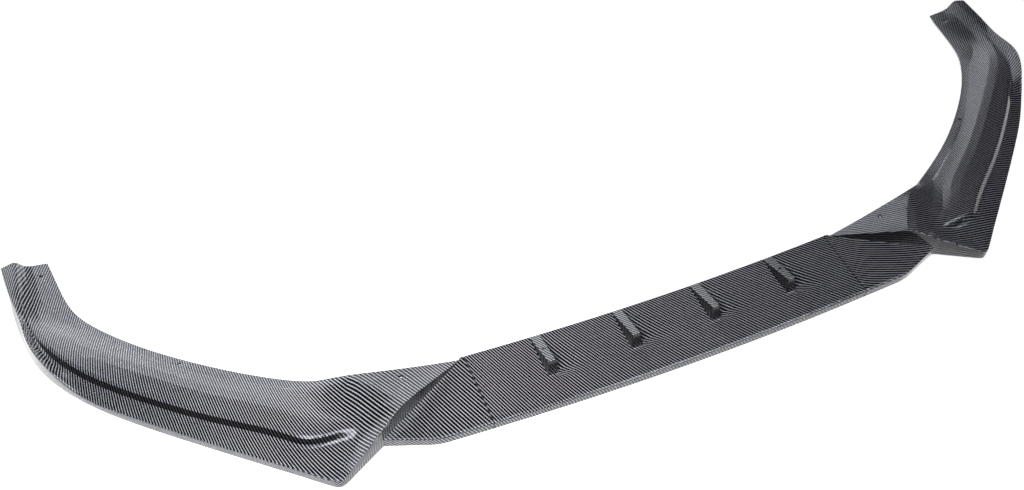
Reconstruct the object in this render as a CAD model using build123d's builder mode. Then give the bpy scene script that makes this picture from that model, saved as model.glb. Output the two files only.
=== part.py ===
from build123d import *

import os
from collections import namedtuple
from math import cos, hypot, radians, sin, sqrt

# Front splitter lip: a middle panel with four fins and two swept end sections, lapped and screwed together.
# X runs across the car, the lip faces -Y, and it stands on Z = 0. All sizes are in millimetres.

# Walls and rounding
WALL = 3.0
NOSE_ROUND = 2.6
CREASE_EASE = 7.0
LARGEST_SHARE = 0.42

# Middle panel
HALF_PANEL = 296.0
PANEL_DEPTH = 114.6
BOW = 8.6
FRONT_HEIGHT = 14.0
REAR_RISE = 4.5
JOINT_GAP = 0.4

# Fins on the middle panel
FIN_COUNT = 4
FIN_PITCH = 127.5
FIN_FRONT = 45.0
FIN_LEAN = 18.0
FIN_HEIGHT = 24.0
FIN_TAIL_HEIGHT = 2.0
FIN_TAIL_SETBACK = 1.0
FIN_WIDTH = 15.6
FIN_DRAFT = 6.1
FIN_WALL = 2.5
FIN_HOLE_SETBACK = 34.0

# Lap joint under each end of the middle panel
TONGUE_REACH = 30.0
TONGUE_ROOT = 14.0
TONGUE_SETBACK = 24.0
TONGUE_DEPTH = 72.0
TONGUE_THICKNESS = 3.0
LAP_CLEARANCE = 0.2
BOSS_WIDTH = 9.0
BOSS_LENGTH = 52.0
BOSS_CLEARANCE = 0.3
BOSS_SHY = 0.3
BOSS_INSET = 15.0
SCREW_SPACING = 40.0
PILOT_DIAMETER = 3.2
PILOT_ROOF = 1.2
SCREW_CLEARANCE = 0.05
FLANGE_DIAMETER = 14.0
FLANGE_THICKNESS = 1.6
HEAD_FLATS = 7.0
HEAD_HEIGHT = 3.6

# Screw holes for the bumper
HOLE_DIAMETER = 4.5

# Plan points of an end section, measured outward from the joint and back from the foremost edge
CORNER = (76.0, 13.0)
NOTCH = (146.4, 39.1)
CORNER_ROUND = 90.0
FLANGE_HOLES = ((530.0, 508.0), (369.0, 262.0), (93.7, 113.6))

# Heights that the cross-sections of an end section share
BLADE_HEIGHT = 14.5
WEDGE_PEAK = 48.5
STEP_TOP = 30.0
STEP_FOOT = 19.5

# A station is a cross-section of an end section. It starts at the inner edge (x from the joint, y from the
# foremost edge) and looks outward along heading. The profile gives distance out and height for the inner
# edge, the wedge ridge or flange, the foot of the crown, its crest, the top of the step, the foot of the
# step and the blade edge. The rim hangs from the blade edge to a height of foot, leaning outward by flare.
Station = namedtuple("Station", "x y heading profile flare foot", defaults=(0, 0))
STATIONS = (
    Station(7.0, 119.2, -29.9, ((0, 19.2), (118.8, WEDGE_PEAK), (150, 38.6), (172, 32.3), (192, 26.6),
                                (208, 22.2), (238.4, BLADE_HEIGHT))),
    Station(94.0, 129.5, -38.3, ((0, 31), (54, 44.5), (88, 29), (97, 26.5), (106, 25.5), (120, STEP_FOOT),
                                 (180, BLADE_HEIGHT))),
    Station(166.0, 141.0, -48.6, ((0, 39.5), (6, 40), (48, 25), (70, 28.5), (94, 28.5), (103, STEP_FOOT),
                                  (138, BLADE_HEIGHT))),
    Station(209.0, 164.0, -48.6, ((0, 20), (7, 21.4), (30, 24), (54, 31), (88, STEP_TOP), (97, STEP_FOOT),
                                  (127.4, BLADE_HEIGHT))),
    Station(294.8, 216.6, -48.6, ((0, 17), (7, 18.6), (21, 22), (43, 31), (78, STEP_TOP), (87, STEP_FOOT),
                                  (110.8, BLADE_HEIGHT))),
    Station(390.6, 294.0, -45.4, ((0, 14.5), (7, 16.2), (18, 20.5), (40, 31), (74, STEP_TOP), (83, STEP_FOOT),
                                  (103.5, BLADE_HEIGHT))),
    Station(439.0, 343.3, -42.2, ((0, 11.6), (7, 13.3), (17, 17.5), (44, 30.5), (73, 31), (82, 21),
                                  (100, 19)), 0, 0.4),
    Station(475.7, 389.7, -32.7, ((0, 8), (7, 9.8), (20, 14), (50, 29), (67, 31), (75, 24),
                                  (88, 46)), 3, 2),
    Station(497.0, 429.3, -19.9, ((0, 6.3), (7, 8), (36, 13), (52, 25), (57, 27), (61, 28),
                                  (68, 40.5)), 9, 8),
    Station(508.5, 474.8, -9.8, ((0, 6), (7, 7.8), (34, 15), (44, 25), (48, 30), (52, 35.5),
                                 (64, 36)), 5, 15),
    Station(519.7, 536.7, -12.7, ((0, 6), (8, 8.8), (29, 17), (33, 24), (36.5, 30.6), (40.5, 36),
                                  (61, 34.5)), 1, 20),
)
DEPTH = STATIONS[-1].y
SLOPE = REAR_RISE / PANEL_DEPTH


def place(x, y, z=0.0):
    """A point given by its distance behind the foremost edge, about the middle of the lip's depth."""
    return Vector(x, y - DEPTH / 2, z)


def bow_at(x):
    """How far the bowed front of the middle panel lies behind the foremost edge at x."""
    return BOW * (x / HALF_PANEL) ** 2


def skin(depth):
    """The panel's sloping top plane, or one at a depth below it, with its origin at the front."""
    upward = Vector(0, -SLOPE, 1).normalized()
    return Plane(origin=place(0, 0, FRONT_HEIGHT) - upward * depth, x_dir=(1, 0, 0), z_dir=upward)


def station_plane(station):
    """An upright plane whose x runs outward from the station's inner edge and whose y is height."""
    heading = radians(station.heading)
    return Plane(
        origin=place(HALF_PANEL + station.x, station.y),
        x_dir=(cos(heading), sin(heading), 0),
        z_dir=(sin(heading), -cos(heading), 0),
    )


def underside(points, depth):
    """The mitred line that lies a depth below a profile that is read from its inner edge outward."""
    normals = []
    for (x0, y0), (x1, y1) in zip(points, points[1:]):
        length = hypot(x1 - x0, y1 - y0)
        normals.append(((y1 - y0) / length, (x0 - x1) / length))
    (x, y), (nx, ny) = points[0], normals[0]
    shifted = [(x + depth * nx, y + depth * ny)]
    for (x, y), (ax, ay), (bx, by) in zip(points[1:], normals, normals[1:]):
        reach = depth / (1 + ax * bx + ay * by)
        shifted.append((x + reach * (ax + bx), y + reach * (ay + by)))
    (x, y), (nx, ny) = points[-1], normals[-1]
    return shifted + [(x + depth * nx, y + depth * ny)]


def eased(before, corner, after, ease):
    """The two points where the easing of a corner starts and ends, a length away from it at most."""
    corner = Vector(*corner)
    arriving = Vector(*before) - corner
    leaving = Vector(*after) - corner
    start = corner + arriving * min(ease / arriving.length, LARGEST_SHARE)
    end = corner + leaving * min(ease / leaving.length, LARGEST_SHARE)
    return [start, end]


def outer_profile(station):
    """A station's profile, carried on down its rim."""
    return list(station.profile) + [(station.profile[-1][0] + station.flare, station.foot)]


def section_points(station):
    """The closed cross-section of the shell at a station: its eased outside, then its underside, in space."""
    outer = outer_profile(station)
    outside = [Vector(*outer[0])]
    for index in range(1, len(outer) - 1):
        ease = NOSE_ROUND if index >= len(outer) - 4 else CREASE_EASE
        outside += eased(*outer[index - 1:index + 2], ease)
    nose_start, nose_end = outside[-2:]
    outside.insert(-1, (nose_start + Vector(*outer[-2]) * 2 + nose_end) / 4)
    outside.append(Vector(*outer[-1]))
    below = [Vector(*point) for point in reversed(underside(outer, WALL))]
    plane = station_plane(station)
    return [plane.from_local_coords(point) for point in outside + below]


def swept_shell(stations):
    """A solid whose corners run on smooth rails through the stations, with a ruled strip between each two."""
    sections = [section_points(station) for station in stations]
    travel = [0.0]
    for near, far in zip(sections, sections[1:]):
        travel.append(travel[-1] + sqrt(sum((p - q).length for p, q in zip(near, far))))
    parameters = [distance / travel[-1] for distance in travel]
    rails = [Edge.make_spline(list(points), parameters=parameters) for points in zip(*sections)]
    neighbours = rails[1:] + rails[:1]
    strips = [Face.make_surface_from_curves(rail, beside) for rail, beside in zip(rails, neighbours)]
    caps = [Face(Wire.make_polygon(section)) for section in (sections[0], sections[-1])]
    return Solid(Shell(strips + caps))


panel_end = HALF_PANEL - JOINT_GAP / 2
overrun = 2 * WALL
tall = FRONT_HEIGHT + PANEL_DEPTH

# Hollow under the middle panel, open to the rear and at both ends
with BuildPart() as panel_core:
    with BuildSketch(skin(WALL)):
        with BuildLine():
            core_end = panel_end + overrun
            core_front = bow_at(core_end) + WALL
            ThreePointArc((-core_end, core_front), (0, WALL), (core_end, core_front))
            core_rear = PANEL_DEPTH + 2 * BOW
            Line((core_end, core_front), (core_end, core_rear))
            Line((core_end, core_rear), (-core_end, core_rear))
            Line((-core_end, core_rear), (-core_end, core_front))
        make_face()
    extrude(amount=-tall)


def side_point(y, height):
    """A point of a side view: its place behind the foremost edge and its height above the skin there."""
    return (y - DEPTH / 2, FRONT_HEIGHT + SLOPE * y + height)


def fin(inset):
    """One fin about X = 0, or with an inset the hollow under it, from below the skin to its sloping top."""
    sink = WALL + 2 * inset
    tail = PANEL_DEPTH - FIN_TAIL_SETBACK
    back, up = sin(radians(FIN_LEAN)), cos(radians(FIN_LEAN))
    with BuildPart() as blank:
        with BuildSketch(Plane.YZ):
            with BuildLine():
                Polyline(
                    side_point(FIN_FRONT - sink * back, -sink * up),
                    side_point(FIN_FRONT + FIN_HEIGHT * back, FIN_HEIGHT * up),
                    side_point(tail - FIN_TAIL_HEIGHT * back, FIN_TAIL_HEIGHT),
                    side_point(tail, -sink),
                    close=True,
                )
            make_face()
            if inset:
                offset(amount=-inset, kind=Kind.INTERSECTION)
        extrude(amount=FIN_WIDTH / 2 - inset, both=True)
        draft(blank.faces().filter_by(Axis.X), neutral_plane=skin(0), angle=FIN_DRAFT)
    return blank.part


fin_solid = fin(0)
fin_hollow = fin(FIN_WALL)
fin_span = FIN_PITCH * (FIN_COUNT - 1)
fin_xs = [FIN_PITCH * n - fin_span / 2 for n in range(FIN_COUNT)]
fin_places = [(x, bow_at(x), SLOPE * bow_at(x)) for x in fin_xs]

tongue_front = bow_at(HALF_PANEL) + TONGUE_SETBACK
boss_x = HALF_PANEL - BOSS_INSET
boss_y = tongue_front + TONGUE_DEPTH / 2
boss_foot = WALL + LAP_CLEARANCE + TONGUE_THICKNESS - BOSS_SHY
screw_ys = (boss_y - SCREW_SPACING / 2, boss_y + SCREW_SPACING / 2)
screw_places = [(x, y) for x in (-boss_x, boss_x) for y in screw_ys]

# Middle panel with its fins, their hollows and a screw boss at each end
with BuildPart() as center_panel:
    with BuildSketch(skin(0)):
        with BuildLine():
            front = bow_at(panel_end)
            rear = PANEL_DEPTH + front
            ThreePointArc((-panel_end, front), (0, 0), (panel_end, front))
            Line((panel_end, front), (panel_end, rear))
            ThreePointArc((panel_end, rear), (0, PANEL_DEPTH), (-panel_end, rear))
            Line((-panel_end, rear), (-panel_end, front))
        make_face()
    extrude(amount=-tall)
    split(bisect_by=Plane.XY, keep=Keep.TOP)
    nose_edge = center_panel.faces().sort_by(Axis.Y)[0].edges().sort_by(Axis.Z)[-1]
    fillet(nose_edge, radius=NOSE_ROUND)
    add(panel_core.part, mode=Mode.SUBTRACT)
    with Locations(*fin_places):
        add(fin_solid)
        add(fin_hollow, mode=Mode.SUBTRACT)
    with BuildSketch(skin(WALL / 2)):
        with Locations((-boss_x, boss_y), (boss_x, boss_y)):
            Rectangle(BOSS_WIDTH, BOSS_LENGTH)
    extrude(amount=WALL / 2 - boss_foot)
    with BuildSketch(skin(PILOT_ROOF)):
        with Locations(*screw_places):
            Circle(PILOT_DIAMETER / 2)
    extrude(amount=PILOT_ROOF - boss_foot, mode=Mode.SUBTRACT)
    fin_hole_y = bow_at(fin_xs[0]) + PANEL_DEPTH - FIN_HOLE_SETBACK
    with Locations(place(fin_xs[0], fin_hole_y, tall), place(fin_xs[-1], fin_hole_y, tall)):
        Hole(HOLE_DIAMETER / 2, depth=tall)
center_panel.part.label = "center_panel"

# Flat corner of an end section beside the joint, and the hollow under it
wall_station = STATIONS[0]
wall_plane = station_plane(wall_station)


def along_wall(distance):
    """A point of the flat corner's sketch, in the middle of the wedge's wall at a distance along it."""
    point = wall_plane.from_local_coords(Vector(distance, 0, -WALL / 2))
    return (point.X, point.Y + DEPTH / 2)


notch_out = wall_plane.to_local_coords(place(HALF_PANEL + NOTCH[0], NOTCH[1])).X
joint_x = HALF_PANEL + JOINT_GAP / 2
joint_front = bow_at(joint_x)
joint_rear = joint_front + PANEL_DEPTH


def corner_outline(inset):
    """The outline of the flat corner as a list of points, with its front edges moved in by inset."""
    start = joint_x - 2 * inset
    return [
        (start, joint_front + inset),
        (HALF_PANEL + CORNER[0], CORNER[1] + inset),
        along_wall(notch_out - inset),
        along_wall(0),
        (HALF_PANEL + wall_station.x, joint_rear + 2 * inset),
        (start, joint_rear + 2 * inset),
    ]


with BuildPart() as corner_core:
    with BuildSketch(skin(WALL)):
        with BuildLine():
            FilletPolyline(corner_outline(WALL), radius=[0, CORNER_ROUND, 0, 0, 0, 0], close=True)
        make_face()
    extrude(amount=-tall)

with BuildPart() as flat_corner:
    with BuildSketch(skin(0)):
        with BuildLine():
            FilletPolyline(corner_outline(0), radius=[0, CORNER_ROUND, 0, 0, 0, 0], close=True)
        make_face()
    extrude(amount=-tall)
    split(bisect_by=Plane.XY, keep=Keep.TOP)
    corner_top = flat_corner.faces().filter_by(lambda face: face.normal_at().Z > 0.5)
    fillet(corner_top.edges().sort_by(lambda edge: edge.center().Y)[:3], radius=NOSE_ROUND)
    add(corner_core.part, mode=Mode.SUBTRACT)

# Right end section: swept shell, wedge wall, flat corner, tongue and screw holes
with BuildPart() as right_end:
    add(swept_shell(STATIONS))
    *wall_top, (wall_tip, _) = underside(outer_profile(wall_station), WALL / 2)
    wall_root = notch_out - 2 * WALL
    with BuildSketch(wall_plane):
        with BuildLine():
            wall_foot = [(wall_tip, WALL / 2), (wall_root, WALL / 2)]
            wall_inner = [(wall_root, FRONT_HEIGHT / 2), (0, FRONT_HEIGHT)]
            Polyline(wall_top + wall_foot + wall_inner, close=True)
        make_face()
    extrude(amount=-WALL)
    add(flat_corner.part)
    with BuildSketch(skin(WALL + LAP_CLEARANCE)):
        with BuildLine():
            Polyline(
                (HALF_PANEL - TONGUE_REACH, tongue_front),
                (HALF_PANEL + TONGUE_ROOT, tongue_front),
                (HALF_PANEL + TONGUE_ROOT, tongue_front + TONGUE_DEPTH),
                (HALF_PANEL - TONGUE_REACH, tongue_front + TONGUE_DEPTH),
                close=True,
            )
        make_face()
        with Locations((boss_x, boss_y)):
            Rectangle(BOSS_WIDTH + 2 * BOSS_CLEARANCE, BOSS_LENGTH + 2 * BOSS_CLEARANCE, mode=Mode.SUBTRACT)
    extrude(amount=-TONGUE_THICKNESS)
    with BuildSketch(skin(WALL / 2)):
        with BuildLine():
            Polyline(
                (joint_x, tongue_front),
                (HALF_PANEL + TONGUE_ROOT, tongue_front),
                (HALF_PANEL + TONGUE_ROOT, tongue_front + TONGUE_DEPTH),
                (joint_x, tongue_front + TONGUE_DEPTH),
                close=True,
            )
        make_face()
    extrude(amount=-(WALL / 2 + LAP_CLEARANCE + TONGUE_THICKNESS / 2))
    with Locations(*[place(HALF_PANEL + x, y, tall) for x, y in FLANGE_HOLES]):
        Hole(HOLE_DIAMETER / 2, depth=tall)
right_end.part.label = "right_end"

with BuildPart() as left_end:
    mirror(right_end.part, about=Plane.YZ)
left_end.part.label = "left_end"

# Screws of both lap joints, driven from below
head_level = WALL + LAP_CLEARANCE + TONGUE_THICKNESS
with BuildPart() as lap_screws:
    with BuildSketch(skin(head_level)):
        with Locations(*screw_places):
            Circle(FLANGE_DIAMETER / 2)
    extrude(amount=-FLANGE_THICKNESS)
    with BuildSketch(skin(head_level)):
        with Locations(*screw_places):
            RegularPolygon(HEAD_FLATS / 2, 6, major_radius=False)
    extrude(amount=-HEAD_HEIGHT)
    with BuildSketch(skin(head_level)):
        with Locations(*screw_places):
            Circle(PILOT_DIAMETER / 2 - SCREW_CLEARANCE)
    extrude(amount=head_level - PILOT_ROOF - LAP_CLEARANCE)
lap_screws.part.label = "lap_screws"

os.makedirs("parts", exist_ok=True)
for piece in (center_panel, right_end, left_end, lap_screws):
    export_step(piece.part, f"parts/{piece.part.label}.step")
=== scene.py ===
"""Front splitter lip in a printed twill under clear coat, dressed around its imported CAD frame."""

import logging
import math
from dataclasses import dataclass, field
from enum import Enum
from typing import Protocol

import bmesh
import bpy
import numpy as np
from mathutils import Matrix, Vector


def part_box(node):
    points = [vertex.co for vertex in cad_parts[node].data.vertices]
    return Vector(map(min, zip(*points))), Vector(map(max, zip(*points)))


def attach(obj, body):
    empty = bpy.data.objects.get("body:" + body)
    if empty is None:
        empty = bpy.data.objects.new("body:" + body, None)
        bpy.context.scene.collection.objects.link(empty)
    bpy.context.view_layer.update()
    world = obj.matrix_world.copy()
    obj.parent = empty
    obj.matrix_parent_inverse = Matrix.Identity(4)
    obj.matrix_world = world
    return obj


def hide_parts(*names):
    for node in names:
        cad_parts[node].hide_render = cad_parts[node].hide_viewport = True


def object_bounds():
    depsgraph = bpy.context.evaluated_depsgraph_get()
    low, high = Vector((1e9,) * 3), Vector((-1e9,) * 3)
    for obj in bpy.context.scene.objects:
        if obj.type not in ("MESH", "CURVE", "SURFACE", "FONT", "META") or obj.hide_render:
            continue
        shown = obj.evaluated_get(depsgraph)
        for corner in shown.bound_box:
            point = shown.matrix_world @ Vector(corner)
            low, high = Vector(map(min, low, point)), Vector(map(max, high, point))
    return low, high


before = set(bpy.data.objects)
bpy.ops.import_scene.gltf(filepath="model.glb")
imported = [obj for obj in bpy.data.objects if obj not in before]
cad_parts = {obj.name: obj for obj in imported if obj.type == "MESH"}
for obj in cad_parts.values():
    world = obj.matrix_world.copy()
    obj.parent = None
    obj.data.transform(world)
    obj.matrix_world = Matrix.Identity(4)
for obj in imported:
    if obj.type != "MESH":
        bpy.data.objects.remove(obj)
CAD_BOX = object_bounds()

Colour = tuple[float, float, float, float]
Place = tuple[float, float, float]
Plan = tuple[float, float]
Range = tuple[float, float]

LOG = logging.getLogger("splitter_lip")
BODY = "root"
PRINT_LAYER = "print"
# Corner layer that darkens the print on steep walls facing forward: thin film and painted shade.
STRETCH_SHADE_LAYER = "stretch_shade"
# Distances within which vertices are merged and within which a cut takes one as on its plane
WELD = 0.00001
CUT = 0.000001
# Ranges in which most and nearly all values of a noise lie
NOISE_CORE: Range = (0.3, 0.7)
NOISE_SPAN: Range = (0.2, 0.8)
WHITE: Colour = (1.0, 1.0, 1.0, 1.0)


class Slot(Enum):
    """Material slots of the record."""

    TWILL = "twill_gloss"
    STEEL = "screw_steel"


class Side(Enum):
    """The two ends of the lip, by the sign of X."""

    LEFT = -1
    RIGHT = 1


class Axis(Enum):
    """Axes of the frame, by their names on shader sockets."""

    X = "X"
    Y = "Y"
    Z = "Z"


class Graph:
    """Short calls that build one shader node tree."""

    def __init__(self, tree: bpy.types.NodeTree) -> None:
        """Keeps the tree that the calls add to."""
        self.tree = tree

    def node(self, kind: str, **settings: object) -> bpy.types.Node:
        """Adds a node.

        Args:
            kind: The node's type without its ShaderNode prefix.
            **settings: Properties to set on it.

        Returns:
            The new node.
        """
        made = self.tree.nodes.new("ShaderNode" + kind)
        for name, value in settings.items():
            setattr(made, name, value)
        return made

    def feed(self, socket: bpy.types.NodeSocket, source: object) -> None:
        """Links a socket to an output, or writes a constant on it.

        Args:
            socket: The input socket.
            source: An output socket or a plain value.
        """
        if isinstance(source, bpy.types.NodeSocket):
            self.tree.links.new(source, socket)
        else:
            socket.default_value = source

    def math(self, operation: str, *sources: object) -> bpy.types.NodeSocket:
        """Adds a Math node.

        Args:
            operation: Its operation.
            *sources: What feeds its inputs, in order.

        Returns:
            Its output.
        """
        made = self.node("Math", operation=operation)
        for socket, source in zip(made.inputs, sources):
            self.feed(socket, source)
        return made.outputs[0]

    def total(self, first: object, *others: object) -> bpy.types.NodeSocket:
        """Adds values up.

        Args:
            first: The first value.
            *others: The values added to it.

        Returns:
            Their sum.
        """
        made = first
        for other in others:
            made = self.math("ADD", made, other)
        return made

    def product(self, first: object, *others: object) -> bpy.types.NodeSocket:
        """Multiplies values.

        Args:
            first: The first value.
            *others: The values that it is multiplied by.

        Returns:
            Their product.
        """
        made = first
        for other in others:
            made = self.math("MULTIPLY", made, other)
        return made

    def blend(self, factor: object, first: object, second: object) -> bpy.types.NodeSocket:
        """Mixes two colours.

        Args:
            factor: Share of the second colour.
            first: Colour at a factor of 0.
            second: Colour at a factor of 1.

        Returns:
            The mixed colour.
        """
        made = self.node("Mix", data_type="RGBA")
        for name, source in (("Factor_Float", factor), ("A_Color", first), ("B_Color", second)):
            socket = next(item for item in made.inputs if item.identifier == name)
            self.feed(socket, source)
        return next(item for item in made.outputs if item.identifier == "Result_Color")

    def ramp(
        self, value: object, low: float, high: float, start: float = 0.0, end: float = 1.0
    ) -> bpy.types.NodeSocket:
        """Maps a value smoothly from one range to another.

        Args:
            value: What is mapped.
            low: Value that gives start.
            high: Value that gives end.
            start: Result at low.
            end: Result at high.

        Returns:
            The mapped value.
        """
        made = self.node("MapRange", interpolation_type="SMOOTHSTEP")
        names = ("Value", "From Min", "From Max", "To Min", "To Max")
        for name, source in zip(names, (value, low, high, start, end)):
            self.feed(made.inputs[name], source)
        return made.outputs["Result"]

    def noise(self, place: object, scale: object, detail: float = 2.0) -> bpy.types.NodeSocket:
        """Adds a Noise texture.

        Args:
            place: The coordinates it reads.
            scale: Its scale.
            detail: Its octaves.

        Returns:
            Its value, from 0 to 1.
        """
        made = self.node("TexNoise")
        self.feed(made.inputs["Vector"], place)
        self.feed(made.inputs["Scale"], scale)
        self.feed(made.inputs["Detail"], detail)
        return made.outputs[0]

    def vector(self, *parts: object) -> bpy.types.NodeSocket:
        """Joins two or three values into a vector.

        Args:
            *parts: Its components, in order.

        Returns:
            The vector.
        """
        made = self.node("CombineXYZ")
        for socket, source in zip(made.inputs, parts):
            self.feed(socket, source)
        return made.outputs[0]

    def split(self, vector: bpy.types.NodeSocket) -> bpy.types.Node:
        """Splits a vector into its components.

        Args:
            vector: The vector.

        Returns:
            The node that puts them out.
        """
        made = self.node("SeparateXYZ")
        self.feed(made.inputs[0], vector)
        return made

    def grain(self, group: bpy.types.NodeTree, scale: float) -> bpy.types.Node:
        """Places the moulded grain group on the piece's own coordinates.

        Args:
            group: The group.
            scale: Scale of the grain.

        Returns:
            The placed group.
        """
        made = self.node("Group", node_tree=group)
        self.feed(made.inputs["Place"], self.node("TexCoord").outputs["Object"])
        self.feed(made.inputs["Scale"], scale)
        return made

    def relief(self, height: bpy.types.NodeSocket, depth: float, strength: float) -> bpy.types.Node:
        """Adds a bump.

        Args:
            height: Its height, from 0 to 1.
            depth: Its depth in metres.
            strength: Its strength.

        Returns:
            The Bump node.
        """
        made = self.node("Bump")
        self.feed(made.inputs["Strength"], strength)
        self.feed(made.inputs["Distance"], depth)
        self.feed(made.inputs["Height"], height)
        return made


def new_group(
    name: str, inputs: dict[str, str], outputs: dict[str, str]
) -> tuple[Graph, bpy.types.Node, bpy.types.Node]:
    """Starts a shader node group.

    Args:
        name: The group's name.
        inputs: Socket type of each named input.
        outputs: Socket type of each named output.

    Returns:
        Its graph, its input node and its output node.
    """
    tree = bpy.data.node_groups.new(name, "ShaderNodeTree")
    for label, kind in inputs.items():
        tree.interface.new_socket(label, in_out="INPUT", socket_type=kind)
    for label, kind in outputs.items():
        tree.interface.new_socket(label, in_out="OUTPUT", socket_type=kind)
    return Graph(tree), tree.nodes.new("NodeGroupInput"), tree.nodes.new("NodeGroupOutput")


def new_material(name: str) -> tuple[bpy.types.Material, Graph, bpy.types.Node]:
    """Starts a material.

    Args:
        name: The material's name.

    Returns:
        The material, its graph and its Principled shader.
    """
    made = bpy.data.materials.new(name)
    made.use_nodes = True
    return made, Graph(made.node_tree), made.node_tree.nodes["Principled BSDF"]


@dataclass(frozen=True)
class TwillWeave:
    """Twill weave that reads as stripes along the print's second coordinate.

    Attributes:
        pitch: Distance from stripe to stripe.
        over: Tows that a light tow floats over.
        under: Tows that it then runs under.
        fibres: Fibre streaks across one tow.
        streaks: Fibre streaks along one tow's width.
        gap: Share of a tow's width over which its edge darkens.
    """

    pitch: float = 0.0042
    over: int = 2
    under: int = 5
    fibres: float = 5.0
    streaks: float = 0.3
    gap: float = 0.12

    def group(self) -> bpy.types.NodeTree:
        """Builds the node group.

        Returns:
            A group from print coordinates to a mask of light tows, their crowns, fibre streaks and tones.
        """
        kinds = ("Light Tow", "Crown", "Fibre", "Tone")
        graph, entry, leave = new_group(
            "twill_weave", {"Print": "NodeSocketVector"}, {label: "NodeSocketFloat" for label in kinds}
        )
        across, along, _ = graph.split(entry.outputs["Print"]).outputs
        period = self.over + self.under
        tows = period / 2 / self.pitch
        warp = graph.product(graph.total(across, along), tows)
        weft = graph.product(graph.math("SUBTRACT", across, along), tows)
        warp_tow = graph.math("FLOOR", warp)
        weft_tow = graph.math("FLOOR", weft)
        turn = graph.math("FLOORED_MODULO", graph.total(warp_tow, weft_tow), float(period))
        light = graph.math("LESS_THAN", turn, float(self.over))
        dark = graph.math("SUBTRACT", 1.0, light)
        warp_side = graph.math("PINGPONG", warp, 0.5)
        weft_side = graph.math("PINGPONG", weft, 0.5)
        side = graph.total(graph.product(light, weft_side), graph.product(dark, warp_side))
        light_fibre = graph.vector(graph.product(warp, self.streaks), graph.product(weft, self.fibres))
        dark_fibre = graph.vector(graph.product(warp, self.fibres), graph.product(weft, self.streaks))
        fibre = graph.total(
            graph.product(light, graph.noise(light_fibre, 1.0)),
            graph.product(dark, graph.noise(dark_fibre, 1.0)),
        )
        tone = graph.node("TexWhiteNoise", noise_dimensions="2D")
        graph.feed(tone.inputs["Vector"], graph.vector(weft_tow, light))
        edge = graph.ramp(weft_side, 0.0, self.gap)
        graph.feed(leave.inputs["Light Tow"], graph.product(light, edge))
        graph.feed(leave.inputs["Crown"], graph.math("SQRT", graph.product(side, 2.0)))
        graph.feed(leave.inputs["Fibre"], fibre)
        graph.feed(leave.inputs["Tone"], tone.outputs["Value"])
        return graph.tree


@dataclass(frozen=True)
class MouldedGrain:
    """Fine grain of a moulded or coated plastic skin.

    Attributes:
        octaves: Octaves of the grain.
        cloud_share: Scale of the slow cloud, as a share of the grain's.
    """

    octaves: float = 3.0
    cloud_share: float = 0.03

    def group(self) -> bpy.types.NodeTree:
        """Builds the node group.

        Returns:
            A group from object coordinates and a scale to a fine grain and a slow cloud.
        """
        graph, entry, leave = new_group(
            "moulded_grain",
            {"Place": "NodeSocketVector", "Scale": "NodeSocketFloat"},
            {"Grain": "NodeSocketFloat", "Cloud": "NodeSocketFloat"},
        )
        place, scale = entry.outputs["Place"], entry.outputs["Scale"]
        graph.feed(leave.inputs["Grain"], graph.noise(place, scale, self.octaves))
        graph.feed(leave.inputs["Cloud"], graph.noise(place, graph.product(scale, self.cloud_share)))
        return graph.tree


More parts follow.
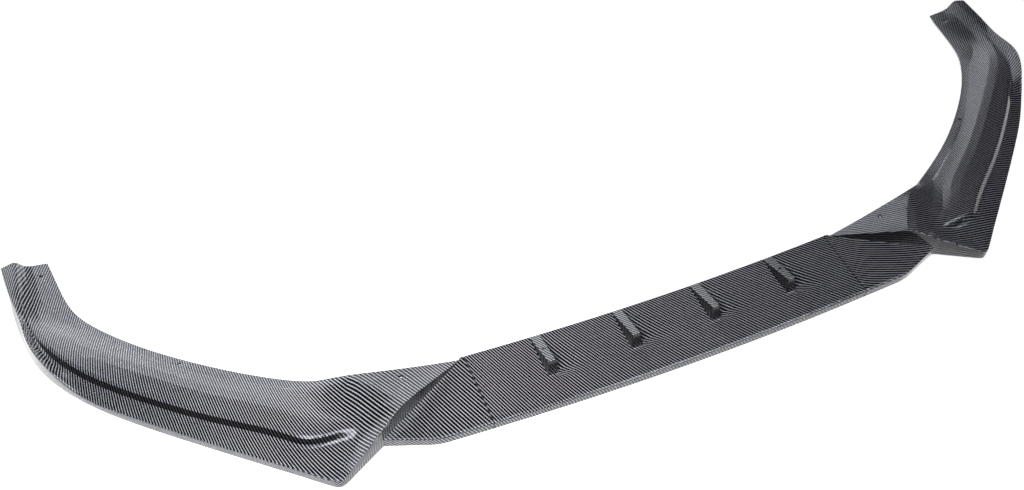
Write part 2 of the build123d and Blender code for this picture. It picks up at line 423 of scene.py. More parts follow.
@dataclass(frozen=True)
class PrintedTwill:
    """Twill printed on the skin, under a gloss clear coat.

    Attributes:
        light: Colour of the silver tows.
        dark: Colour of the black tows.
        streak_tones: Tone of the darkest and the lightest fibre streaks.
        tow_tones: Tone of the darkest and the lightest tows.
        cloud_tones: Tone of the darkest and the lightest patches.
        stretched_shaded: Share of the silver left on steep walls facing forward, where the film is drawn
            thin and painted shade darkens it.
        roughness: Roughness of the print below the coat, from fibre to fibre.
        specular: Specular level of the print below the coat.
        coat_roughness: Roughness of the coat.
        grain_scale: Scale of the skin's grain.
        peel: Depth of the print's relief, in metres.
        peel_strength: Strength of the relief.
        edge: Radius to which the film softens an edge.
        edge_samples: Samples that the softening takes.
    """

    light: Colour = (0.86, 0.86, 0.92, 1.0)
    dark: Colour = (0.006, 0.006, 0.008, 1.0)
    streak_tones: Range = (0.86, 1.08)
    tow_tones: Range = (0.90, 1.06)
    cloud_tones: Range = (0.94, 1.05)
    stretched_shaded: float = 0.12
    roughness: Range = (0.38, 0.50)
    specular: float = 0.1
    coat_roughness: float = 0.07
    grain_scale: float = 260.0
    peel: float = 0.00004
    peel_strength: float = 0.5
    edge: float = 0.0011
    edge_samples: int = 6

    def material(self, weave: bpy.types.NodeTree, grain: bpy.types.NodeTree) -> bpy.types.Material:
        """Builds the material.

        Args:
            weave: The twill weave group.
            grain: The moulded grain group.

        Returns:
            The material, which reads the piece's print layer and its wall layer of thin film and painted
            shade.
        """
        made, graph, shader = new_material("printed_twill")
        twill = graph.node("Group", node_tree=weave)
        graph.feed(twill.inputs["Print"], graph.node("UVMap", uv_map=PRINT_LAYER).outputs["UV"])
        skin = graph.grain(grain, self.grain_scale)
        stretch_shade = graph.node("Attribute", attribute_name=STRETCH_SHADE_LAYER)
        shade = graph.product(
            graph.ramp(twill.outputs["Fibre"], *NOISE_CORE, *self.streak_tones),
            graph.ramp(twill.outputs["Tone"], 0.0, 1.0, *self.tow_tones),
            graph.ramp(skin.outputs["Cloud"], *NOISE_CORE, *self.cloud_tones),
            # Painted shade: the wall layer dims the print on steep walls facing forward, beside the film's
            # thinning.
            graph.ramp(stretch_shade.outputs["Fac"], 0.0, 1.0, 1.0, self.stretched_shaded),
        )
        colour = graph.node("VectorMath", operation="SCALE")
        graph.feed(colour.inputs[0], graph.blend(twill.outputs["Light Tow"], self.dark, self.light))
        graph.feed(colour.inputs["Scale"], shade)
        graph.feed(shader.inputs["Base Color"], colour.outputs[0])
        fibre_gloss = graph.ramp(twill.outputs["Fibre"], *NOISE_SPAN, *self.roughness)
        graph.feed(shader.inputs["Roughness"], fibre_gloss)
        rounded = graph.node("Bevel", samples=self.edge_samples)
        graph.feed(rounded.inputs["Radius"], self.edge)
        height = graph.total(twill.outputs["Crown"], skin.outputs["Grain"])
        relief = graph.relief(height, self.peel, self.peel_strength)
        graph.feed(relief.inputs["Normal"], rounded.outputs["Normal"])
        graph.feed(shader.inputs["Normal"], relief.outputs[0])
        graph.feed(shader.inputs["Coat Normal"], rounded.outputs["Normal"])
        graph.feed(shader.inputs["Specular IOR Level"], self.specular)
        graph.feed(shader.inputs["Coat Weight"], 1.0)
        graph.feed(shader.inputs["Coat Roughness"], self.coat_roughness)
        return made


@dataclass(frozen=True)
class BarePlastic:
    """Black moulded plastic of the underside, which the print doesn't reach; also laid around the screw
    holes as painted shade.

    Attributes:
        colour: Its colour.
        pale: Colour of its paler patches.
        roughness: Its roughness, from the grain's hollows to its peaks.
        grain_scale: Scale of its grain.
        depth: Depth of the grain, in metres.
        strength: Strength of the grain.
    """

    colour: Colour = (0.016, 0.016, 0.018, 1.0)
    pale: Colour = (0.0272, 0.0272, 0.0306, 1.0)
    roughness: Range = (0.5, 0.7)
    grain_scale: float = 900.0
    depth: float = 0.0003
    strength: float = 0.4

    def material(self, grain: bpy.types.NodeTree) -> bpy.types.Material:
        """Builds the material.

        Args:
            grain: The moulded grain group.

        Returns:
            The material.
        """
        made, graph, shader = new_material("bare_plastic")
        skin = graph.grain(grain, self.grain_scale)
        graph.feed(shader.inputs["Base Color"], graph.blend(skin.outputs["Cloud"], self.colour, self.pale))
        grain_gloss = graph.ramp(skin.outputs["Grain"], *NOISE_CORE, *self.roughness)
        graph.feed(shader.inputs["Roughness"], grain_gloss)
        relief = graph.relief(skin.outputs["Grain"], self.depth, self.strength)
        graph.feed(shader.inputs["Normal"], relief.outputs[0])
        return made


@dataclass(frozen=True)
class ZincSteel:
    """Zinc-plated steel of the lap screws.

    Attributes:
        bright: Colour of the clean plating.
        dull: Colour of its duller patches.
        roughness: Roughness of the dull and of the clean plating.
        grain_scale: Scale of the plating's mottle.
    """

    bright: Colour = (0.66, 0.66, 0.68, 1.0)
    dull: Colour = (0.42, 0.42, 0.43, 1.0)
    roughness: Range = (0.5, 0.28)
    grain_scale: float = 1400.0

    def material(self, grain: bpy.types.NodeTree) -> bpy.types.Material:
        """Builds the material.

        Args:
            grain: The moulded grain group, used for the plating's mottle.

        Returns:
            The material.
        """
        made, graph, shader = new_material("zinc_steel")
        mottle = graph.grain(grain, self.grain_scale).outputs["Grain"]
        graph.feed(shader.inputs["Base Color"], graph.blend(mottle, self.dull, self.bright))
        graph.feed(shader.inputs["Roughness"], graph.ramp(mottle, *NOISE_SPAN, *self.roughness))
        graph.feed(shader.inputs["Metallic"], 1.0)
        return made


class Print(Protocol):
    """A way to lay the print's coordinates over a piece."""

    def coordinates(self, points: np.ndarray) -> np.ndarray:
        """Print coordinates, across and along the stripes, of points in the frame."""


def smooth_step(values: np.ndarray, low: float, high: float) -> np.ndarray:
    """Rises smoothly from 0 at low to 1 at high.

    Args:
        values: Where it is read.
        low: Where it leaves 0.
        high: Where it reaches 1.

    Returns:
        The step's value at each place.
    """
    share = np.clip((values - low) / (high - low), 0.0, 1.0)
    return share * share * (3 - 2 * share)


@dataclass(frozen=True)
class FanPrint:
    """Stripes that fan out from a hub far behind the middle panel, on film that the fins pull forward.

    Attributes:
        hub: Plan point that the stripes run from.
        reach: Distance from the hub at which the stripes have the weave's pitch.
        fin_pitch: Distance from fin to fin.
        fin_count: Number of fins.
        fin_side: Half a fin's width.
        fin_front: Plan Y of the fins' front feet.
        fin_rear: Plan Y of the fins' tails.
        foot: Length ahead of and behind a front foot over which the film bunches up.
        pull: Share of the way from the tail to the foot that the film is pulled.
        fade: Distance from the fin over which that fades.
        inset: Distance inside a fin's side from which the film is pulled.
    """

    hub: Plan = (-0.713, 0.952)
    reach: float = 1.40
    fin_pitch: float = 0.1275
    fin_count: int = 4
    fin_side: float = 0.0078
    fin_front: float = -0.222
    fin_rear: float = -0.152
    foot: float = 0.007
    pull: float = 0.32
    fade: float = 0.060
    inset: float = 0.001

    def coordinates(self, points: np.ndarray) -> np.ndarray:
        """Lays the fan over points.

        Args:
            points: Points in the frame, one a row.

        Returns:
            Distance across and along the stripes, one pair a row.
        """
        x, y = points[:, 0], points[:, 1]
        source = y.copy()
        bunched = smooth_step(y, self.fin_front - self.foot, self.fin_front + self.foot)
        for number in range(self.fin_count):
            side = (number - (self.fin_count - 1) / 2) * self.fin_pitch + self.fin_side
            near = np.clip(1 - (x - side) / self.fade, 0.0, 1.0) ** 2 * (x > side - self.inset)
            source += self.pull * near * bunched * np.maximum(self.fin_rear - y, 0.0)
        away = np.stack([x - self.hub[0], self.hub[1] - source], axis=1)
        radius = np.hypot(away[:, 0], away[:, 1])
        across = np.arctan2(away[:, 0], away[:, 1]) * self.reach
        return np.stack([across, radius], axis=1)


@dataclass(frozen=True)
class Bend:
    """A bend of the sweep's plan curve.

    Attributes:
        start: Distance along the curve where it starts.
        end: Distance along the curve where it ends.
        turn: Angle that it turns through.
    """

    start: float
    end: float
    turn: float


@dataclass(frozen=True)
class SweepPrint:
    """Stripes at a slant to the plan curve of an end section.

    Attributes:
        side: Which end it is.
        slants: Angle from the curve to the stripes, in degrees, by distance along the curve.
        crowding: How much closer than the weave's pitch the stripes lie, by distance along the curve.
        tight: How much closer they lie across the crown, inward of the step.
        tight_range: Distances along the curve between which that sets in.
        step_line: Distance of the step from the curve, inward.
        front: Plan Y of the curve in the middle of the lip.
        length: Length of the curve.
        step: Distance between the points at which it is read.
        bends: The curve's bends.
        lots: Number of lots in which points are matched to the curve, to save memory.
    """

    side: Side
    slants: dict[float, float]
    crowding: dict[float, float]
    tight: float = 1.0
    tight_range: Range = (0.46, 0.60)
    step_line: float = -0.030
    front: float = -0.211
    length: float = 1.15
    step: float = 0.002
    bends: tuple[Bend, ...] = (
        Bend(0.330, 0.632, math.radians(40.1)),
        Bend(0.744, 1.066, math.radians(42.6)),
    )
    lots: int = 64

    def coordinates(self, points: np.ndarray) -> np.ndarray:
        """Lays the stripes over points.

        Args:
            points: Points in the frame, one a row.

        Returns:
            Distance across and along the stripes, one pair a row.
        """
        travel = np.arange(0.0, self.length, self.step)
        heading = sum(bend.turn * smooth_step(travel, bend.start, bend.end) for bend in self.bends)
        line_x = np.cumsum(np.cos(heading)) * self.step
        line_y = np.cumsum(np.sin(heading)) * self.step + self.front
        x, y = points[:, 0] * self.side.value, points[:, 1]
        nearest = np.concatenate([
            np.argmin((line_x - lot_x[:, None]) ** 2 + (line_y - lot_y[:, None]) ** 2, axis=1)
            for lot_x, lot_y in zip(np.array_split(x, self.lots), np.array_split(y, self.lots))
        ])
        ahead_x, ahead_y = np.cos(heading[nearest]), np.sin(heading[nearest])
        off_x, off_y = x - line_x[nearest], y - line_y[nearest]
        beyond = off_x * ahead_x + off_y * ahead_y
        inward = off_y * ahead_x - off_x * ahead_y
        tightened = (self.tight - 1) * smooth_step(travel, *self.tight_range)[nearest]
        inward += tightened * np.maximum(inward - self.step_line, 0.0)
        slant = np.radians(np.interp(travel, list(self.slants), list(self.slants.values())))
        crowd = np.interp(travel, list(self.crowding), list(self.crowding.values()))
        lean, drift = crowd * np.cos(slant), crowd * np.sin(slant)
        drifted = np.cumsum(drift)[nearest] * self.step + beyond * drift[nearest]
        leaned = np.cumsum(lean)[nearest] * self.step + beyond * lean[nearest]
        across = inward * lean[nearest] - drifted * self.side.value
        along = inward * drift[nearest] + leaned * self.side.value
        return np.stack([across, along], axis=1)


def cut(
    bm: bmesh.types.BMesh, place: Vector, normal: Vector, faces: list[bmesh.types.BMFace] | None = None
) -> None:
    """Cuts a mesh along a plane.

    Args:
        bm: The mesh.
        place: A point on the plane.
        normal: The plane's normal.
        faces: The faces to cut, or None for all.
    """
    if faces is None:
        parts = bm.verts[:] + bm.edges[:] + bm.faces[:]
    else:
        parts = faces + list({part for face in faces for part in (*face.verts, *face.edges)})
    bmesh.ops.bisect_plane(bm, geom=parts, dist=CUT, plane_co=place, plane_no=normal)


def limit(value: float) -> float:
    """Keeps a share between 0 and 1."""
    return min(max(value, 0.0), 1.0)


@dataclass(frozen=True)
class CornerRound:
    """Round on the blade's sharp front corner, as seen in plan.

    Attributes:
        corner: Plan place of the corner on the right side.
        bisector: Angle of its bisector from the inward X direction.
        turn: Angle that the outline turns through at it.
        radius: Radius of the round.
        reach: Distance over which the pressing fades.
        cuts: Number of cuts on each side of the bisector.
    """

    corner: Plan = (0.5097, -0.2680)
    bisector: float = math.radians(86)
    turn: float = math.radians(68)
    radius: float = 0.015
    reach: float = 0.035
    cuts: int = 4

    def press(self, bm: bmesh.types.BMesh, side: float) -> None:
        """Makes the round by pressing the corner in along its bisector.

        Args:
            bm: The mesh.
            side: Sign of X of the moulding's end of the lip.
        """
        corner = Vector((self.corner[0] * side, self.corner[1], 0.0))
        inward = Vector((-math.cos(self.bisector) * side, math.sin(self.bisector), 0.0))
        across = Vector((-inward.y, inward.x, 0.0))
        half = self.turn / 2
        width = self.radius * math.sin(half)
        for number in range(-self.cuts, self.cuts + 1):
            near = [
                face for face in bm.faces
                if (face.calc_center_median() - corner).xy.length < self.reach
            ]
            cut(bm, corner + across * width * number / self.cuts, across, near)
        for vert in bm.verts:
            off = vert.co - corner
            aside, depth = abs(off.dot(across)), off.dot(inward)
            if aside < width:
                flank = aside * math.tan(half)
                arc = self.radius / math.cos(half) - math.sqrt(self.radius**2 - aside**2)
                vert.co += inward * (arc - flank) * (1 - limit((depth - flank) / self.reach))


@dataclass(frozen=True)
class RidgeRound:
    """Round on the wedge's ridge, which runs down to the blade's front corner.

    Attributes:
        top: Plan place of the ridge's upper end on the right side.
        foot: Plan place of its lower end on the right side.
        radius: Reach of the round, back from the wedge's wall and down it.
        onset: Share of the ridge's length over which the round sets in.
        foot_height: Height at which the ridge runs out into the blade.
        run_out: Height above that over which the round runs out.
        margin: Distance past the ridge's ends up to which faces are cut.
        room: Distance behind the round up to which faces are cut.
        slope: Normal height from which a face belongs to the slope behind the ridge.
        cuts: Number of cuts along the round.
    """

    top: Plan = (0.406, -0.208)
    foot: Plan = CornerRound.corner
    radius: float = 0.003
    onset: float = 0.08
    foot_height: float = 0.0155
    run_out: float = 0.012
    margin: float = 0.010
    room: float = 0.010
    slope: float = 0.3
    cuts: int = 6

    def press(self, bm: bmesh.types.BMesh, side: float) -> None:
        """Makes the round by pressing the slope behind the ridge down towards the wall.

        Args:
            bm: The mesh.
            side: Sign of X of the moulding's end of the lip.
        """
        top = Vector((self.top[0] * side, self.top[1], 0.0))
        run = Vector((self.foot[0] * side, self.foot[1], 0.0)) - top
        inward = Vector((-run.y, run.x, 0.0)).normalized() * side
        bm.normal_update()
        for number in range(1, self.cuts + 1):
            back = self.radius * (1 - math.cos(math.pi / 2 * number / self.cuts))
            near = self.faces_behind(bm, top, run, inward * (self.radius + self.room))
            cut(bm, top + inward * back, inward, near)
        bm.normal_update()
        faces = self.faces_behind(bm, top, run, inward * self.radius)
        pressed = {vert for face in faces for vert in face.verts}
        for vert in pressed:
            off = vert.co - top
            share = limit(1 - off.dot(inward) / self.radius)
            start = off.dot(run) / run.length_squared / self.onset
            end = (vert.co.z - self.foot_height) / self.run_out
            vert.co.z -= self.radius * (1 - math.sqrt(1 - share**2)) * limit(min(start, end))
        for edge in bm.edges:
            if all(vert in pressed for vert in edge.verts):
                edge.smooth = True

    def faces_behind(
        self, bm: bmesh.types.BMesh, top: Vector, run: Vector, depth: Vector
    ) -> list[bmesh.types.BMFace]:
        """Finds the faces on the slope behind the ridge.

        Args:
            bm: The mesh.
            top: The ridge's upper end.
            run: The way from there to its lower end.
            depth: The way back from the ridge, as far as faces count.

        Returns:
            The faces.
        """
        found = []
        for face in bm.faces:
            off = face.calc_center_median() - top
            along = off.dot(run) / run.length
            beside = -self.margin < along < run.length + self.margin
            behind = 0.0 < off.dot(depth) < depth.length_squared
            if face.normal.z > self.slope and beside and behind:
                found.append(face)
        return found


@dataclass
class Moulding:
    """One moulding of the lip: its CAD node with rounded edges, a print on top and bare plastic below.

    Attributes:
        node: The CAD node that it stands for.
        film: How the print lies on it.
        rounds: The larger rounds pressed into it.
        edge_round: Width of the round on its sharp edges.
        edge_segments: Segments of that round.
        edge_room: Length that the edges around a rounded one have, in widths of the round.
        flat: Angle between faces up to which they are joined.
        sharp: Angle between faces from which an edge is rounded.
        crease: Angle between faces from which a crease stays crisp.
        broad: Width from which both faces count for a crease.
        cell: Side of the plan grid that the mesh is cut along.
        underside: Normal height below which a face is bare.
        joint: Distance of the lap joints from the middle of the lip.
        bare_edge: Distance from a joint within which the film was trimmed away.
        holes: Plan places of the screw holes on the right side.
        hole_shade_rim: Radius around a hole that is laid in bare black plastic, as painted shade of the
            hole.
        wall_range: Steepness at which a face starts and ends to count as a wall.
        level: Steepness below which a face counts as level.
        fold_height: Height at which a wall is folded out.
        stretch_shade_range: Steepness at which the thin film and painted shade on walls start and end.
        stretch_shade_heights: Heights between which that sets in.
        stretch_shade_end: Plan Y over which that fades towards the tips.
        stretch_shade_rear: How far to the rear a wall may face and still be darkened.
        step_start: Distance from the middle of the lip at which the step starts.
        step_shade_share: Share of the thin film and painted shade on the step.
    """

    node: str
    film: Print
    rounds: tuple[CornerRound | RidgeRound, ...] = (CornerRound(), RidgeRound())
    edge_round: float = 0.0009
    edge_segments: int = 3
    edge_room: float = 1.5
    flat: float = math.radians(0.05)
    sharp: float = math.radians(22)
    crease: float = math.radians(7)
    broad: float = 0.0022
    cell: float = 0.010
    underside: float = -0.15
    joint: float = 0.296
    bare_edge: float = 0.0010
    holes: tuple[Plan, ...] = (
        (0.19125, -0.18416), (0.3897, -0.15475), (0.665, -0.00635), (0.826, 0.23965),
    )
    hole_shade_rim: float = 0.0034
    wall_range: Range = (0.86, 0.96)
    level: float = 0.001
    fold_height: float = 0.016
    stretch_shade_range: Range = (0.50, 0.70)
    stretch_shade_heights: Range = (0.015, 0.018)
    stretch_shade_end: Range = (0.08, 0.14)
    stretch_shade_rear: float = 0.1
    step_start: float = CornerRound.corner[0]
    step_shade_share: float = 1.0
    mesh: bpy.types.Mesh = field(init=False)

    def shape(self) -> None:
        """Rounds a merged copy of the node, cuts it along a plan grid and tells its bare faces apart."""
        low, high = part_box(self.node)
        side = math.copysign(1.0, low.x + high.x)
        self.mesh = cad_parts[self.node].data.copy()
        self.mesh.name = self.node + "_skin"
        self.mesh.materials.clear()
        bm = bmesh.new()
        bm.from_mesh(self.mesh)
        bmesh.ops.remove_doubles(bm, verts=bm.verts, dist=WELD)
        bmesh.ops.dissolve_limit(bm, angle_limit=self.flat, verts=bm.verts, edges=bm.edges)
        self.round_off(bm)
        self.divide(bm, low, high)
        for rounding in self.rounds:
            rounding.press(bm, side)
        bmesh.ops.triangulate(bm, faces=bm.faces)
        for face in bm.faces:
            face.smooth = True
            face.material_index = int(self.is_bare(face))
        bm.to_mesh(self.mesh)
        bm.free()

    def is_bare(self, face: bmesh.types.BMFace) -> bool:
        """Tells whether a face is bare plastic: undersides, joint edges, and hole rims darkened as painted
        shade.

        Args:
            face: The face.

        Returns:
            True for a face of bare plastic.
        """
        middle = face.calc_center_median()
        seam = abs(abs(middle.x) - self.joint) < self.bare_edge
        # Painted shade: the print is left off around each screw hole so that the hole reads dark.
        hole_shade = any(math.hypot(abs(middle.x) - x, middle.y - y) < self.hole_shade_rim for x, y in self.holes)
        return seam or hole_shade or face.normal.z < self.underside

    def round_off(self, bm: bmesh.types.BMesh) -> None:
        """Rounds the sharp edges that have room for it and keeps the creases crisp.

        Args:
            bm: The mesh.
        """
        room = self.edge_round * self.edge_room
        edges = []
        for edge in bm.edges:
            angle = edge.calc_face_angle() if edge.is_manifold else 0.0
            broad = all(face.calc_area() > self.broad * edge.calc_length() for face in edge.link_faces)
            edge.smooth = angle < self.crease or not broad
            links = {link for vert in edge.verts for link in vert.link_edges}
            if angle > self.sharp and all(link.calc_length() > room for link in links):
                edges.append(edge)
        bmesh.ops.bevel(
            bm, geom=edges, offset=self.edge_round, offset_type="OFFSET", segments=self.edge_segments,
            profile=0.5, affect="EDGES", clamp_overlap=True, material=-1,
        )
        LOG.info("%s: %d edges rounded", self.node, len(edges))

    def divide(self, bm: bmesh.types.BMesh, low: Vector, high: Vector) -> None:
        """Cuts the mesh beside the joints and along a plan grid, so that the print follows its curves.

        Args:
            bm: The mesh.
            low: Lower corner of the node's box.
            high: Upper corner of the node's box.
        """
        along_x, along_y = Vector((1, 0, 0)), Vector((0, 1, 0))
        for joint in (-self.joint, self.joint):
            for place in (joint - self.bare_edge, joint + self.bare_edge):
                cut(bm, along_x * place, along_x)
        for normal in (along_x, along_y):
            for number in range(1, math.ceil((high - low).dot(normal) / self.cell)):
                cut(bm, low + normal * self.cell * number, normal)

    def lay_print(self) -> None:
        """Writes the print's coordinates and its wall layer of thin film and painted shade to the mesh,
        with steep walls folded out flat.
        """
        corners = np.empty(len(self.mesh.loops), np.int32)
        self.mesh.loops.foreach_get("vertex_index", corners)
        points = np.empty(len(self.mesh.vertices) * 3, np.float32)
        self.mesh.vertices.foreach_get("co", points)
        normals = np.empty(len(self.mesh.polygons) * 3, np.float32)
        self.mesh.polygons.foreach_get("normal", normals)
        places = points.reshape(-1, 3)[corners].astype(float)
        facing = np.repeat(normals.reshape(-1, 3), 3, axis=0).astype(float)[:, :2]
        steep = np.linalg.norm(facing, axis=1, keepdims=True)
        # Painted shade: steep walls facing forward get a dimmer print, partly from thin film and partly
        # standing in for the shade they lie in.
        stretch_shade = smooth_step(steep, *self.stretch_shade_range) * (facing[:, 1:] < self.stretch_shade_rear)
        stretch_shade *= smooth_step(places[:, 2:], *self.stretch_shade_heights)
        stretch_shade *= np.where(abs(places[:, :1]) > self.step_start, self.step_shade_share, 1.0)
        stretch_shade *= 1 - smooth_step(places[:, 1:2], *self.stretch_shade_end)
        fold = smooth_step(steep, *self.wall_range) / np.maximum(steep, self.level)
        places[:, :2] += facing * fold * (self.fold_height - places[:, 2:])
        pairs = self.film.coordinates(places)
        while self.mesh.uv_layers:
            self.mesh.uv_layers.remove(self.mesh.uv_layers[0])
        layer = self.mesh.uv_layers.new(name=PRINT_LAYER)
        layer.uv.foreach_set("vector", pairs.astype(np.float32).ravel())
        thinned_shade = self.mesh.attributes.new(STRETCH_SHADE_LAYER, "FLOAT", "CORNER")
        thinned_shade.data.foreach_set("value", stretch_shade.astype(np.float32).ravel())

    def build(self, top: bpy.types.Material, below: bpy.types.Material) -> bpy.types.Object:
        """Makes the piece.

        Args:
            top: Material of its visible side.
            below: Material of its underside.

        Returns:
            The piece, which stands for the CAD node.
        """
        self.shape()
        self.lay_print()
        self.mesh.materials.append(top)
        self.mesh.materials.append(below)
        piece = bpy.data.objects.new(self.node + "_moulding", self.mesh)
        bpy.context.scene.collection.objects.link(piece)
        normals = piece.modifiers.new("even_normals", "WEIGHTED_NORMAL")
        normals.mode = "FACE_AREA_WITH_ANGLE"
        normals.keep_sharp = True
        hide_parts(self.node)
        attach(piece, BODY)
        return piece


@dataclass
class LapScrews:
    """Screws of the two lap joints, kept as the CAD made them.

    Attributes:
        node: Their CAD node.
    """

    node: str = "lap_screws"

    def dress(self, steel: bpy.types.Material) -> bpy.types.Object:
        """Gives the screws their plating.

        Args:
            steel: Their material.

        Returns:
            The screws.
        """
        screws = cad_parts[self.node]
        for slot in screws.material_slots:
            slot.material = steel
        return screws


@dataclass(frozen=True)
class Softbox:
    """A studio lamp with a long, narrow window, which the lip's gloss doesn't mirror.

    Attributes:
        name: Its name.
        place: Where it hangs.
        aim: What it points at.
        size: Length and height of its window.
        power: Its power in watts.
        spread: Angle that its grid lets the light spread over.
        colour: Colour of its light.
    """

    name: str
    place: Place
    aim: Place
    size: tuple[float, float]
    power: float
    spread: float = math.radians(80)
    colour: tuple[float, float, float] = (0.95, 0.97, 1.0)

    def hang(self) -> None:
        """Adds the lamp to the scene."""
        light = bpy.data.lights.new(self.name, "AREA")
        light.shape = "RECTANGLE"
        light.size, light.size_y = self.size
        light.energy = self.power
        light.spread = self.spread
        light.color = self.colour
        lamp = bpy.data.objects.new(self.name, light)
        lamp.location = self.place
        toward = Vector(self.aim) - Vector(self.place)
        lamp.rotation_euler = toward.to_track_quat("-Z", "Y").to_euler()
        lamp.visible_camera = False
        lamp.visible_glossy = False
        bpy.context.scene.collection.objects.link(lamp)


@dataclass(frozen=True)
class Fade:
    """A soft border in the studio's light, by how far a direction points along one axis.

    Attributes:
        axis: The axis.
        low: Where the fade starts.
        high: Where it ends.
        start: Share of the light below it.
        end: Share of the light above it.
    """

    axis: Axis
    low: float
    high: float
    start: float = 0.0
    end: float = 1.0

    def share(self, graph: Graph, direction: bpy.types.Node) -> bpy.types.NodeSocket:
        """Share of the light that the fade lets through in a split direction."""
        return graph.ramp(direction.outputs[self.axis.value], self.low, self.high, self.start, self.end)


@dataclass(frozen=True)
class Window:
    """A bright field of the studio's walls and ceiling.

    Attributes:
        radiance: Its radiance.
        borders: Its soft borders.
    """

    radiance: float
    borders: tuple[Fade, ...]

    def light(self, graph: Graph, direction: bpy.types.Node) -> bpy.types.NodeSocket:
        """Radiance of the field in a split direction."""
        return graph.product(self.radiance, *(border.share(graph, direction) for border in self.borders))


@dataclass(frozen=True)
class Studio:
    """White studio with a bright low horizon, a dark ceiling, a key light and a fill for the left tip.

    Attributes:
        floor_size: Side of the floor.
        floor_drop: Distance of the floor below the lip.
        floor_colour: Colour of the floor.
        floor_roughness: Roughness of the floor.
        floor_glow: Light that the floor shows beyond what falls on it.
        contact: Distance within which the lip takes that light from the floor.
        contact_range: Openness at which the floor starts and ends to show it.
        contact_samples: Samples that the openness takes.
        camera_place: Where the camera stands.
        camera_turn: Its turn about X and about Z, in degrees.
        lens: Its focal length in millimetres.
        sensor: Width of its sensor in millimetres.
        ceiling: Radiance of the dark ceiling and walls, as the lip's gloss mirrors them.
        horizon: The low horizon that lights the lip, brighter behind it.
        rear_wall: The bright wall behind the lip, as its gloss mirrors it.
        overhead: The strip above the lip, which only rounded edges mirror.
        step_softbox: The softbox that the front end of the right step mirrors.
        ridge_softbox: The softbox that the right wedge's ridge mirrors.
        tint: Colour of the studio's light.
        lamps: The softboxes.
    """

    floor_size: float = 40.0
    floor_drop: float = 0.0005
    floor_colour: Colour = (0.82, 0.82, 0.82, 1.0)
    floor_roughness: float = 0.9
    floor_glow: float = 0.94
    contact: float = 0.06
    contact_range: Range = (0.20, 0.45)
    contact_samples: int = 8
    camera_place: Place = (-0.5647, -0.9674, 1.2160)
    camera_turn: tuple[float, float] = (41.80, -22.57)
    lens: float = 36.98
    sensor: float = 36.0
    ceiling: float = 0.04
    horizon: Window = Window(
        0.48, (Fade(Axis.Z, 0.34, 0.70, 1.0, 0.0833), Fade(Axis.Y, 0.10, 0.65, 0.12))
    )
    rear_wall: Window = Window(1.9, (
        Fade(Axis.X, 0.30, 0.56, 1.0, 0.06), Fade(Axis.Y, 0.42, 0.66), Fade(Axis.Z, 0.68, 0.83, 1.0, 0.0),
    ))
    overhead: Window = Window(9.0, (Fade(Axis.Y, 0.00, 0.10, 1.0, 0.0), Fade(Axis.Z, 0.88, 0.94)))
    step_softbox: Window = Window(15.0, (
        Fade(Axis.X, 0.40, 0.55), Fade(Axis.Y, -0.42, -0.30), Fade(Axis.Y, -0.02, 0.10, 1.0, 0.0),
        Fade(Axis.Z, 0.68, 0.92),
    ))
    ridge_softbox: Window = Window(15.0, (
        Fade(Axis.X, 0.20, 0.32), Fade(Axis.X, 0.48, 0.54, 1.0, 0.0), Fade(Axis.Y, -0.50, -0.40, 1.0, 0.0),
        Fade(Axis.Z, 0.45, 0.60),
    ))
    tint: Colour = (0.89, 0.91, 1.0, 1.0)
    lamps: tuple[Softbox, ...] = (
        Softbox("key_softbox", (-0.95, -0.75, 1.30), (-0.35, -0.20, 0.0), (0.7, 0.16), 3.5),
        Softbox("rear_fill", (-0.25, 1.25, 0.75), (-0.78, 0.14, 0.0), (0.8, 0.30), 2.5),
    )

    def build(self) -> None:
        """Builds the floor, the world, the lamps and the camera."""
        bpy.context.scene.view_settings.view_transform = "Standard"
        self.lay_floor()
        self.light_world()
        for lamp in self.lamps:
            lamp.hang()
        self.set_camera()

    def lay_floor(self) -> None:
        """Lays a white floor that keeps the lip's soft shadow."""
        bm = bmesh.new()
        bmesh.ops.create_grid(bm, x_segments=1, y_segments=1, size=self.floor_size / 2)
        bmesh.ops.translate(bm, verts=bm.verts, vec=(0.0, 0.0, CAD_BOX[0].z - self.floor_drop))
        mesh = bpy.data.meshes.new("studio_floor")
        bm.to_mesh(mesh)
        bm.free()
        floor = bpy.data.objects.new("studio_floor", mesh)
        bpy.context.scene.collection.objects.link(floor)
        mesh.materials.append(self.floor_material())

    def floor_material(self) -> bpy.types.Material:
        """Builds the floor's material.

        Returns:
            A matt white that stays white to the camera and in the lip's gloss, except close to the lip,
            where the glow is cut as a painted contact shadow.
        """
        made, graph, shader = new_material("studio_floor")
        graph.feed(shader.inputs["Base Color"], self.floor_colour)
        graph.feed(shader.inputs["Roughness"], self.floor_roughness)
        graph.feed(shader.inputs["Specular IOR Level"], 0.0)
        rays = graph.node("LightPath")
        shown = graph.math("MAXIMUM", rays.outputs["Is Camera Ray"], rays.outputs["Is Glossy Ray"])
        # Painted shadow: the floor's glow fades where the lip closes the floor in, on top of its real
        # shadow.
        openness = graph.node("AmbientOcclusion", samples=self.contact_samples)
        graph.feed(openness.inputs["Distance"], self.contact)
        clear = graph.ramp(openness.outputs["AO"], *self.contact_range)
        glow = graph.node("Emission")
        graph.feed(glow.inputs["Strength"], graph.product(shown, clear, self.floor_glow))
        both = graph.node("AddShader")
        graph.feed(both.inputs[0], shader.outputs[0])
        graph.feed(both.inputs[1], glow.outputs[0])
        graph.feed(made.node_tree.nodes["Material Output"].inputs["Surface"], both.outputs[0])
        return made

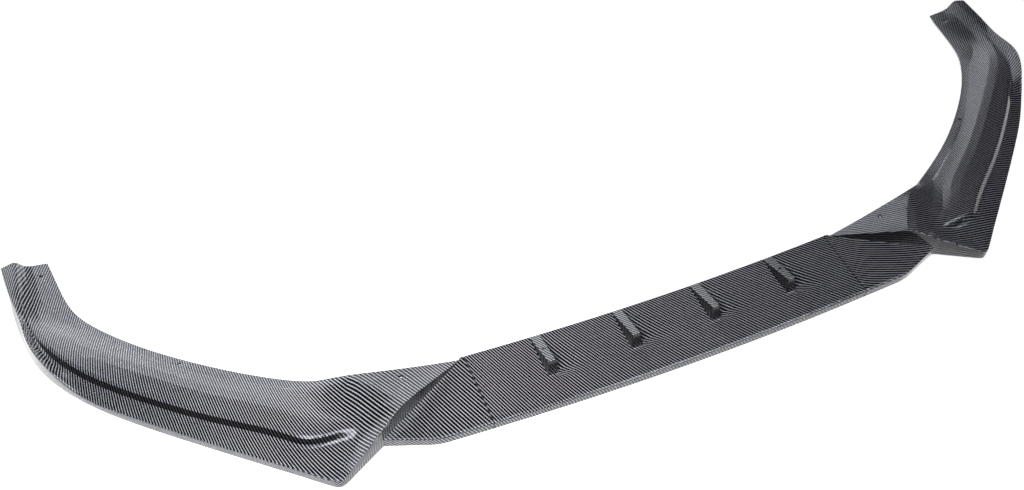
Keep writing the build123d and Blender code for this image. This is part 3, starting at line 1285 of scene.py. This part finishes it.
    def light_world(self) -> None:
        """Makes the world white to the camera, a horizon to matt surfaces and a few windows to gloss."""
        world = bpy.data.worlds.new("studio_world")
        world.use_nodes = True
        bpy.context.scene.world = world
        graph = Graph(world.node_tree)
        direction = graph.split(graph.node("TexCoord").outputs["Generated"])
        rays = graph.node("LightPath")
        camera, gloss = rays.outputs["Is Camera Ray"], rays.outputs["Is Glossy Ray"]
        matt = graph.math("SUBTRACT", 1.0, gloss)
        lit = graph.product(matt, self.horizon.light(graph, direction))
        windows = (self.rear_wall, self.overhead, self.step_softbox, self.ridge_softbox)
        mirrored = graph.total(self.ceiling, *(window.light(graph, direction) for window in windows))
        seen = graph.math("MAXIMUM", graph.total(lit, graph.product(gloss, mirrored)), camera)
        background = world.node_tree.nodes["Background"]
        graph.feed(background.inputs["Strength"], seen)
        graph.feed(background.inputs["Color"], graph.blend(camera, self.tint, WHITE))

    def set_camera(self) -> None:
        """Sets the camera at the photograph's viewpoint."""
        lens = bpy.data.cameras.new("studio_camera")
        lens.lens = self.lens
        lens.sensor_width = self.sensor
        camera = bpy.data.objects.new("studio_camera", lens)
        camera.location = self.camera_place
        about_x, about_z = (math.radians(angle) for angle in self.camera_turn)
        camera.rotation_euler = (about_x, 0.0, about_z)
        bpy.context.scene.collection.objects.link(camera)
        bpy.context.scene.camera = camera


def main() -> None:
    """Builds the finishes, the mouldings, the screws and the studio."""
    logging.basicConfig(level=logging.INFO, format="%(name)s: %(message)s")
    weave = TwillWeave().group()
    grain = MouldedGrain().group()
    twill = PrintedTwill().material(weave, grain)
    bare = BarePlastic().material(grain)
    right = SweepPrint(
        Side.RIGHT,
        slants={0.30: -38, 0.34: -22, 0.44: -22, 0.58: -43, 0.72: -60, 1.10: -52},
        crowding={0.30: 1.0},
        tight=1.9,
    )
    left = SweepPrint(
        Side.LEFT,
        slants={0.37: -67, 0.48: -41, 0.70: -44, 0.80: -51, 0.90: -42, 1.00: -27},
        crowding={0.46: 0.96, 0.58: 1.33, 1.10: 1.30},
    )
    mouldings = (
        Moulding("center_panel", FanPrint(), rounds=(), cell=0.006),
        # The right step gets only part of the painted wall shade.
        Moulding("right_end", right, step_shade_share=0.2),
        Moulding("left_end", left),
    )
    for moulding in mouldings:
        piece = moulding.build(twill, bare)
        LOG.info("%s: %d triangles", piece.name, len(piece.data.polygons))
    screws = LapScrews().dress(ZincSteel().material(grain))
    LOG.info("%s: plated", screws.name)
    Studio().build()


if __name__ == "__main__":
    main()
